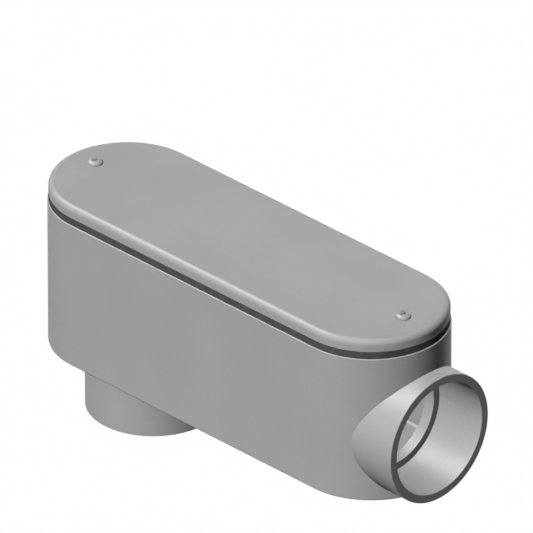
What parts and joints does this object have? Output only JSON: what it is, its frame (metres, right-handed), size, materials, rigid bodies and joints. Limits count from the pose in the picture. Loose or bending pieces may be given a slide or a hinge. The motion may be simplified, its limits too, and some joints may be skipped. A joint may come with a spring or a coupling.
{
  "type": "conduit body",
  "caption": "Long pull box that turns rigid plastic conduit through a right angle, with a socket at one end, a socket underneath, and a gasketed cover held by screws.",
  "frame": {"origin": "centre of the bottom socket's mouth", "axes": "-Z points out of the bottom socket, +X along the body and out of the side socket, +Y across it"},
  "size_m": [0.2608, 0.0804, 0.1242],
  "materials": {
    "grey_pvc": "moulded, satin",
    "foam_rubber": "matt",
    "screw_steel": "bright"
  },
  "bodies": {
    "housing": {"housing": "grey_pvc"},
    "gasket": {"gasket": "foam_rubber"},
    "cover": {"cover": "grey_pvc"},
    "screw_left": {"screw_left": "screw_steel"},
    "screw_right": {"screw_right": "screw_steel"}
  },
  "joints": [
    {"name": "gasket_lift", "type": "slide", "parent": "housing", "child": "gasket", "axis": [0, 0, 1], "range_m": [0, 0.0301]},
    {"name": "cover_lift", "type": "slide", "parent": "gasket", "child": "cover", "axis": [0, 0, 1], "range_m": [0, 0.029]},
    {"name": "screw_left_lift", "type": "slide", "parent": "cover", "child": "screw_left", "axis": [0, 0, 1], "range_m": [0, 0.0141]},
    {"name": "screw_right_lift", "type": "slide", "parent": "cover", "child": "screw_right", "axis": [0, 0, 1], "range_m": [0, 0.0141]}
  ]
}
